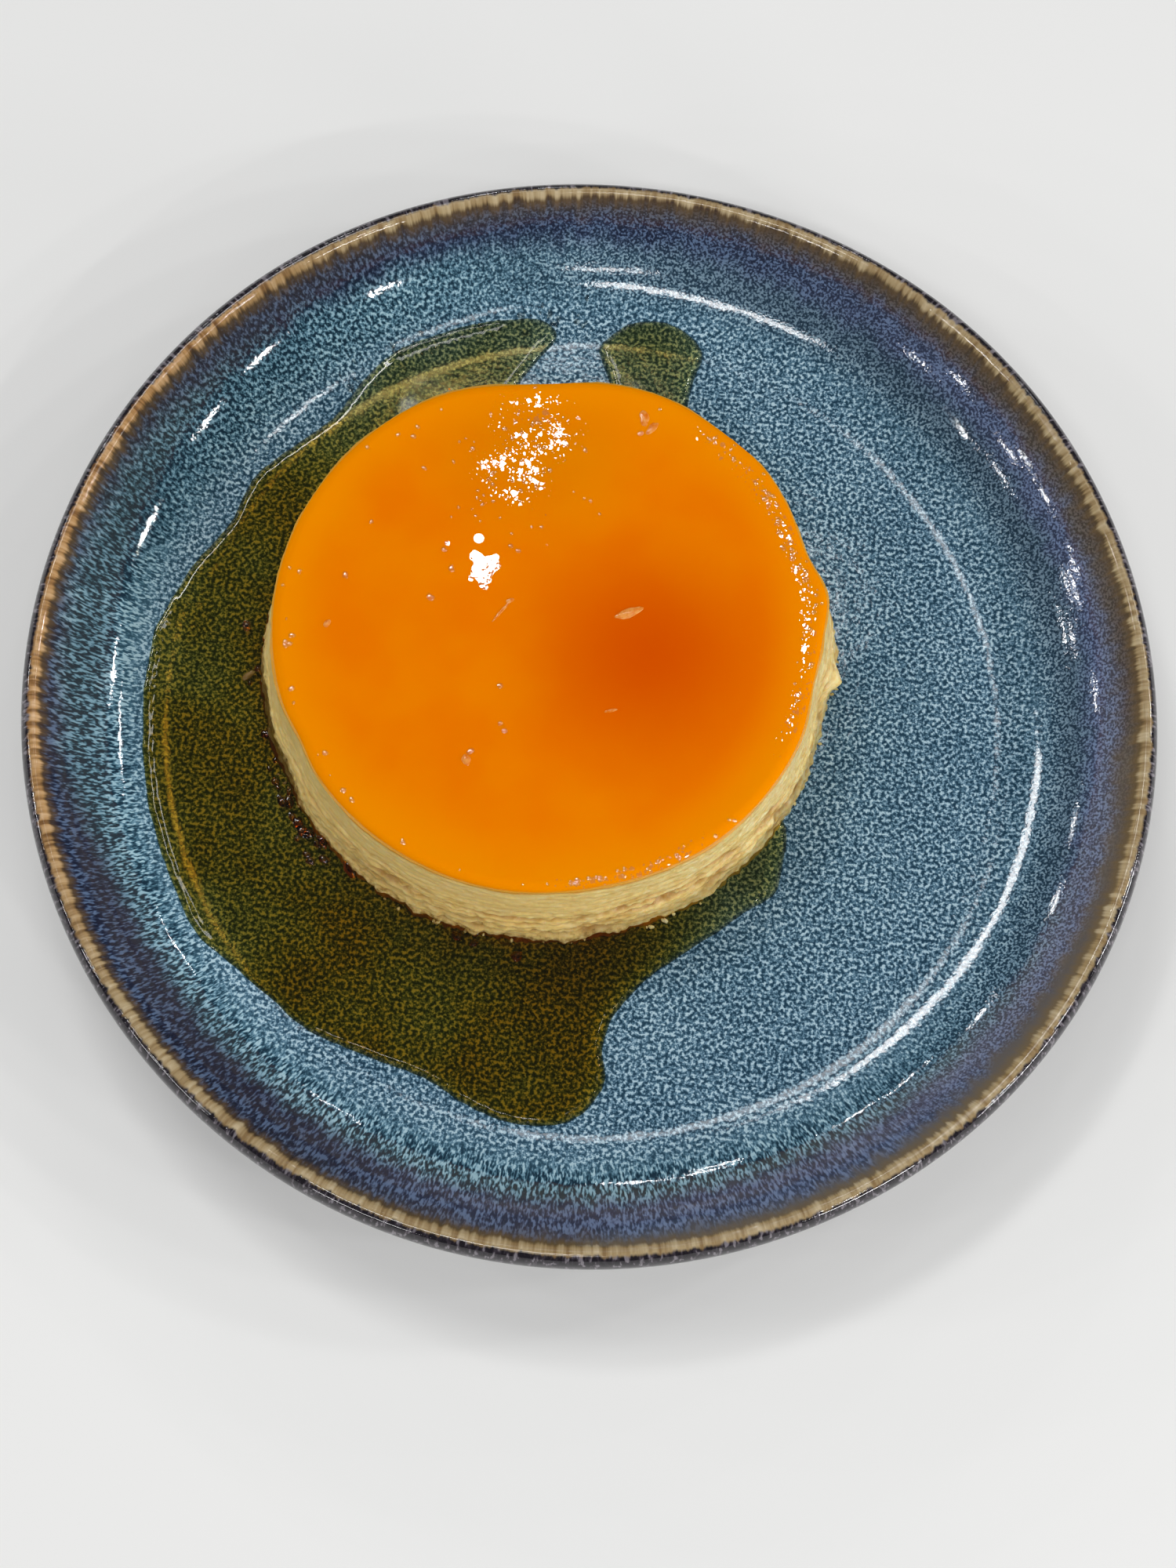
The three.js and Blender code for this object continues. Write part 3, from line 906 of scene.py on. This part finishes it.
def sauce_material(name, shares, flat_depth=None):
    """Clear tinted liquid: the share of each colour that a full depth lets through."""
    g = Graph(name)
    place = g.place()
    # Besides the depth, this attribute carries a darker tint at the custard's foot: partly stain, partly
    # painted shade.
    depth = g.node("Attribute", attribute_name="depth").outputs["Fac"]
    if flat_depth is not None:
        depth = g.fit(g.noise(place, 0.5, 2), 0.3, 0.7, flat_depth * 0.6, flat_depth * 1.4)
    # It is thinned behind the flan, to its right and a little at the far left.
    cloud = g.fit(g.noise(place, 0.06, 2), 0.3, 0.7, 0.8, 1.2)
    x, y, _ = g.parts(place)
    thinned = g.times(g.fit(y, 28, 64, 1, 0.36), g.fit(x, 4, 32, 1, 0.34))
    thinned = g.times(thinned, g.fit(x, -74, -48, 0.84, 1))
    thick = g.times(g.math("POWER", depth, 0.6), cloud, thinned)
    tint = g.node("CombineColor", {
        channel: g.math("POWER", share, thick) for channel, share in enumerate(shares)
    })
    through = g.node("BsdfTransparent", {0: tint.outputs[0]})
    shine = g.node("BsdfGlossy", {"Color": (1, 1, 1, 1), "Roughness": 0.04})
    facing = g.node("Fresnel", {"IOR": 1.42})
    both = g.node("MixShader", {0: facing.outputs[0], 1: through.outputs[0], 2: shine.outputs[0]})
    return g.finish(both.outputs[0])


# ---- Small things lying on a surface ----
def build_blobs(name, blobs, surface, material):
    """One joined mesh of low domes: each is x, y, half-length, half-width, turn and height."""
    rng = random.Random(name)
    rows, columns = 5, 16
    vertices = []
    faces = []
    for x, y, length, width, turn, height in blobs:
        rings = []
        seed = rng.uniform(0, 500)
        cos_turn, sin_turn = cos(turn), sin(turn)
        for row in range(rows):
            share = 1 - row / rows
            for column in range(columns):
                a = 2 * pi * column / columns
                reach = share * (1 + 0.35 * wavy(cos(a) * 1.3, sin(a) * 1.3, seed))
                along, across = length * reach * cos(a), width * reach * sin(a)
                px = x + along * cos_turn - across * sin_turn
                py = y + along * sin_turn + across * cos_turn
                z = surface(px, py) + height * (1 - share**2) - BLOB_SINK
                rings.append((px, py, min(z, FLAN_TOP_Z)))
        level = surface(x, y)
        bottom = (x, y, level - 2 * BLOB_SINK)
        top = (x, y, min(level + height - BLOB_SINK, FLAN_TOP_Z))
        body, sides = turned_mesh(np.reshape(rings, (rows, columns, 3)), bottom, top)
        faces += [[len(vertices) + i for i in side] for side in sides]
        vertices += list(body)
    add_piece(name, vertices, faces, material)


def flan_point(dx, dy):
    """A point given in millimetres from the flan's axis."""
    return FLAN_X + dx * MM, FLAN_Y + dy * MM


def syrup_beads():
    """Beads of syrup on the flan's top: round its shoulder, over the wet patch, and stray ones."""
    rng = random.Random(21)
    beads = []

    def bead(x, y, size):
        length = size * rng.uniform(0.9, 1.5)
        beads.append((x, y, length, size, rng.uniform(0, pi), size * 0.2 + BLOB_SINK))

    groups = ((25, 34, 2.2, 46), (-64, 17, 1.1, 24), (150, 70, 2.2, 12), (-130, 50, 1.6, 10))
    for middle, spread, inset, count in groups:
        for _ in range(count):
            a = radians(rng.gauss(middle, spread * 0.6))
            reach = caramel_edge(a) - rng.triangular(0.5, 2 * inset, inset) * MM
            bead(*from_axis(a, reach), rng.uniform(0.2, 0.6) * MM)
    for _ in range(70):
        x, y = flan_point(rng.gauss(-11, 7.0), rng.gauss(29, 8.0))
        bead(x, y, rng.uniform(0.18, 0.5) * MM)
    strays = (
        (-35, 15), (-21, 11.5), (-22, 2), (-7, -13), (-6, -20), (-5, -21.3), (-10.5, -26), (-46.5, -11),
        (11.7, 40), (-19, 8), (-27, 27), (-38, 4), (-9, 14), (-4, 30), (2, 35), (-30, 33),
    )
    for dx, dy in strays:
        bead(*flan_point(dx, dy), rng.uniform(0.45, 0.7) * MM)
    return beads


def top_flecks():
    """Flakes of cooked custard and skin on the caramel."""
    flecks = (
        (13.9, 4.2, 2.9, 0.95, 30, 0.22), (12.8, 3.7, 0.8, 0.5, 10, 0.32),
        (-8.8, 1.3, 3.3, 0.32, 58, 0.14), (-7.6, 3.4, 0.9, 0.45, 30, 0.2),
        (12.0, 43.2, 1.7, 0.95, 108, 0.22), (13.7, 41.2, 1.6, 0.8, 60, 0.2),
        (-39.7, -5.7, 0.9, 0.6, 70, 0.24), (13.4, -14.7, 1.4, 0.4, 20, 0.12),
        (-11.0, -27.7, 1.1, 0.85, 120, 0.26),
    )
    return [
        (*flan_point(dx, dy), length * MM, width * MM, radians(degrees), height * MM)
        for dx, dy, length, width, degrees, height in flecks
    ]


def foot_scatter(rng, groups, reaches):
    """Bearings and points at the flan's foot, scattered about the middle of each group."""
    for middle, spread, count in groups:
        for _ in range(count):
            a = radians(rng.gauss(middle, spread * 0.6))
            yield a, from_axis(a, float(custard_foot(a)) + rng.triangular(*reaches) * MM)


def foot_crumbs():
    """Crumbs of custard at the foot of the flan."""
    rng = random.Random(33)
    crumbs = []
    groups = ((-95, 26, 10), (-50, 24, 8), (3, 10, 9), (-150, 20, 7))
    for _, place in foot_scatter(rng, groups, (0.2, 1.6, 0.6)):
        size = rng.triangular(0.15, 0.5, 0.2) * MM
        length = size * rng.uniform(1, 1.8)
        turn = rng.uniform(0, pi)
        crumbs.append((*place, length, size, turn, size * rng.uniform(0.7, 1.2)))
    for dx, dy, length in ((-55.5, -10.5, 1.6), (-53, -9.2, 0.8)):
        x, y = flan_point(dx, dy)
        crumbs.append((x, y, length * MM, 0.4 * length * MM, rng.uniform(0, pi), 0.35 * MM))
    return crumbs


def foot_stains():
    """Dark caramel that has run down and gathered at the flan's foot."""
    rng = random.Random(45)
    stains = []
    groups = ((-155, 16, 12), (-134, 7, 16), (-92, 16, 4))
    for a, place in foot_scatter(rng, groups, (0.2, 5.5, 1.0)):
        size = rng.triangular(0.3, 1.3, 0.5) * MM
        length = size * rng.uniform(1, 1.7)
        turn = a + pi / 2 + rng.uniform(-0.5, 0.5)
        stains.append((*place, length, size, turn, size * rng.uniform(0.15, 0.35)))
    return stains


def cove_drops():
    """Splashes of sauce on the plate's cove, behind the flan."""
    rng = random.Random(57)
    drops = []
    for _ in range(70):
        a = radians(rng.uniform(98, 134))
        reach = rng.triangular(79.5, 87.5, 82) * MM
        size = rng.triangular(0.15, 0.85, 0.25) * MM
        length = size * rng.uniform(1, 1.6)
        drops.append((reach * cos(a), reach * sin(a), length, size, a, size * 0.4))
    return drops


def pool_surface(x, y):
    """The sauce's surface over the plate's floor."""
    return SAUCE_LEVEL + float(sauce_creep(foot_distance(x, y)))


def fleck_material():
    g = Graph("toffee_fleck")
    tone = g.noise(g.place(), 1.4, 2, 0.5)
    body = g.ramp(tone, (0.35, 228, 116, 14), (0.65, 240, 160, 78))
    return g.principled({"Base Color": body, "Roughness": 0.1, "IOR": 1.45})


# ---- Camera, light and floor ----
def add_camera():
    data = bpy.data.cameras.new("camera")
    data.lens = CAMERA_LENS
    data.sensor_width = 36
    data.clip_start = 0.01
    data.clip_end = 20
    camera = add_object("camera", data)
    right = Vector((1, 0, 0))
    up = CAMERA_BACK.cross(right)
    turned_right = right * cos(CAMERA_ROLL) + up * sin(CAMERA_ROLL)
    turned_up = up * cos(CAMERA_ROLL) - right * sin(CAMERA_ROLL)
    rotation = Matrix((turned_right, turned_up, CAMERA_BACK)).transposed()
    camera.matrix_world = Matrix.Translation(CAMERA_PLACE) @ rotation.to_4x4()
    scene.camera = camera


def on_plate(bearing, radius):
    """A place on the plate's upper face, in degrees and millimetres, and the normal there."""
    out = toward(bearing, 0)
    reach, step = radius * MM, 0.5 * MM
    low, level, high = (float(plate_surface(reach + side)) for side in (-step, 0, step))
    place = out * reach + Vector((0, 0, level))
    return place, (Vector((0, 0, 2 * step)) - out * (high - low)).normalized()


def on_flan(dx, dy, lean):
    """A place on the flan's top, in mm from its axis, and a normal leaning out by some degrees."""
    out = Vector((dx, dy, 0)).normalized() * sin(radians(lean))
    return Vector((*flan_point(dx, dy), FLAN_TOP_Z)), out + Vector((0, 0, cos(radians(lean))))


def mirrored(place, normal):
    """The direction in which a light has to stand to show at a place on a glossy surface."""
    view = (CAMERA_PLACE - place).normalized()
    way = 2 * view.dot(normal) * normal - view
    along = place.dot(way)
    reach = sqrt(along**2 + LIGHT_DISTANCE**2 - place.length_squared) - along
    return (place + way * reach).normalized()


def toward(bearing, elevation):
    """The direction at a bearing and an elevation, in degrees."""
    a, e = radians(bearing), radians(elevation)
    return Vector((cos(a) * cos(e), sin(a) * cos(e), sin(e)))


def add_softbox(name, way, across, height, watts):
    """A rectangular soft light that faces the plate; across is its long side, in metres."""
    data = bpy.data.lights.new(name, "AREA")
    data.shape = "RECTANGLE"
    data.size = across.length
    data.size_y = height
    data.energy = watts
    way = way.normalized()
    side = (across - way * across.dot(way)).normalized()
    axes = Matrix((side, way.cross(side), way)).transposed()
    light = add_object(name, data)
    light.matrix_world = Matrix.Translation(way * LIGHT_DISTANCE) @ axes.to_4x4()


def add_strip(name, start, end, height, watts):
    """A strip light that shows as a line between two places on the plate."""
    first, last = mirrored(*on_plate(*start)), mirrored(*on_plate(*end))
    add_softbox(name, first + last, (last - first) * LIGHT_DISTANCE, height, watts)


def level_side(way, width):
    """A level vector of some width across a direction."""
    return Vector((-way.y, way.x, 0)).normalized() * width


def add_spots(name, places, width, height, watts):
    """Small lights, each of which shows as a short dash at one place on the plate's wall."""
    for number, place in enumerate(places):
        way = mirrored(*on_plate(*place))
        add_softbox("%s_%d" % (name, number), way, level_side(way, width), height, watts)


def add_floor():
    g = Graph("pale_floor")
    mesh = bpy.data.meshes.new("floor")
    size = STAGE_SIZE
    corners = [(-size, -size, 0), (size, -size, 0), (size, size, 0), (-size, size, 0)]
    mesh.from_pydata(corners, [], [(0, 1, 2, 3)])
    mesh.materials.append(g.principled({"Base Color": (0.92, 0.915, 0.9, 1), "Roughness": 0.9}))
    floor = add_object("floor", mesh)


def add_world():
    """A dim, even fill light. The camera sees a pale backdrop in its place."""
    world = bpy.data.worlds.new("soft_studio")
    world.use_nodes = True
    tree = world.node_tree
    fill = tree.nodes["Background"]
    fill.inputs[0].default_value = (0.9, 0.95, 1.0, 1)
    fill.inputs[1].default_value = FILL_STRENGTH
    backdrop = tree.nodes.new("ShaderNodeBackground")
    backdrop.inputs[0].default_value = (0.8, 0.81, 0.82, 1)
    seen = tree.nodes.new("ShaderNodeLightPath")
    both = tree.nodes.new("ShaderNodeMixShader")
    tree.links.new(seen.outputs["Is Camera Ray"], both.inputs[0])
    tree.links.new(fill.outputs[0], both.inputs[1])
    tree.links.new(backdrop.outputs[0], both.inputs[2])
    tree.links.new(both.outputs[0], tree.nodes["World Output"].inputs[0])
    scene.world = world
    scene.view_settings.view_transform = "Standard"


add_camera()
add_world()
add_floor()
# Places on the plate are a bearing in degrees and a radius in millimetres.
add_strip("key_left", (310, 83.1), (337, 84.9), 0.11, 1.6)
add_strip("key_right", (337, 84.9), (364, 85.5), 0.11, 1.7)
add_strip("key_tail", (299, 82.5), (310, 83.1), 0.06, 0.12)
add_strip("front_strip", (68, 89.2), (97, 89.1), 0.09, 2.5)
add_strip("front_dash", (90, 91.8), (100, 91.8), 0.03, 0.4)
add_strip("left_dash", (187, 88.6), (196, 88.7), 0.03, 0.6)
add_strip("pool_glare", (135, 83.6), (146, 84.0), 0.04, 0.2)
add_spots("right_light", (
    (123, 94.1), (141, 94.7), (151, 93.3), (166, 92.0), (183, 90.5),
), 0.075, 0.025, 0.95)
add_spots("back_light", (
    (219, 89.0), (246, 88.6), (283, 89.2), (290.5, 89.5), (292.5, 88.9),
), 0.055, 0.02, 0.22)
add_spots("far_light", (
    (309, 90.3), (316, 90.6), (328, 91.7), (344, 93.2), (354, 92.7),
), 0.05, 0.02, 0.22)
add_spots("left_light", (
    (9, 95.0), (16.7, 93.0), (17.7, 91.9), (22, 95.3), (22.2, 94.3), (24.5, 96.4),
), 0.05, 0.02, 0.25)
add_spots("side_light", (
    (33, 96.6), (38, 97.1), (38.5, 92.8), (40, 95.8), (46, 92.4), (50.5, 97.0), (56, 95.3),
), 0.05, 0.02, 0.25)
for number, (dx, dy, lean, width, height, watts) in enumerate((
        (-9.5, 33.5, 0, 0.17, 0.11, 0.33), (-15, 10.5, 0, 0.07, 0.08, 0.1),
        (39.5, 6, 0, 0.075, 0.12, 0.19), (21.5, -44.5, 11, 0.2, 0.06, 0.2))):
    way = mirrored(*on_flan(dx, dy, lean))
    add_softbox("top_panel_%d" % number, way, level_side(way, width), height, watts)
for number, (bearing, watts) in enumerate(((-140, 1.1), (-110, 1.1), (-45, 2.8), (-22, 2.6), (0, 2.4))):
    way = toward(bearing, LOW_LIGHT_ELEVATION)
    add_softbox("low_light_%d" % number, way, level_side(way, 0.3), 0.05, watts)


def outline_lookup(node, height, columns, reach):
    """A function that gives a node's smoothed side radius at any bearing, at one height."""
    angles = bearings(columns)
    radii = smooth_round(side_radius(node, angles, height), reach)
    return lambda angle: np.interp(np.mod(angle, 2 * pi), angles, radii, period=2 * pi)


custard_foot = outline_lookup("custard", CUSTARD_LOW.z + 0.6 * MM, 720, 0)
caramel_edge = outline_lookup("caramel_top", CARAMEL_LOW.z + 0.3 * MM, 640, 3)

build_plate(glaze_material())
custard = custard_material()
build_custard(custard)
build_caramel(caramel_material("soaked_caramel"), caramel_edge(bearings(CARAMEL_COLUMNS)))
sauce = sauce_material("clear_caramel_sauce", (0.87, 0.56, 0.1))
build_pool("sauce_pool_main", "caramel_pool_main", sauce, 3)
build_pool("sauce_pool_small", "caramel_pool_small", sauce, 14)

syrup = sauce_material("clear_syrup", (0.97, 0.92, 0.75), 0.4)
dark_sauce = sauce_material("dark_caramel", (0.66, 0.45, 0.24), 0.7)
build_blobs("syrup_beads", syrup_beads(), caramel_height, caramel_material("syrup_bead", True))
build_blobs("caramel_flecks", top_flecks(), caramel_height, fleck_material())
build_blobs("custard_crumbs", foot_crumbs(), pool_surface, custard)
build_blobs("foot_stains", foot_stains(), pool_surface, dark_sauce)
build_blobs("sauce_splashes", cove_drops(), plate_height, syrup)
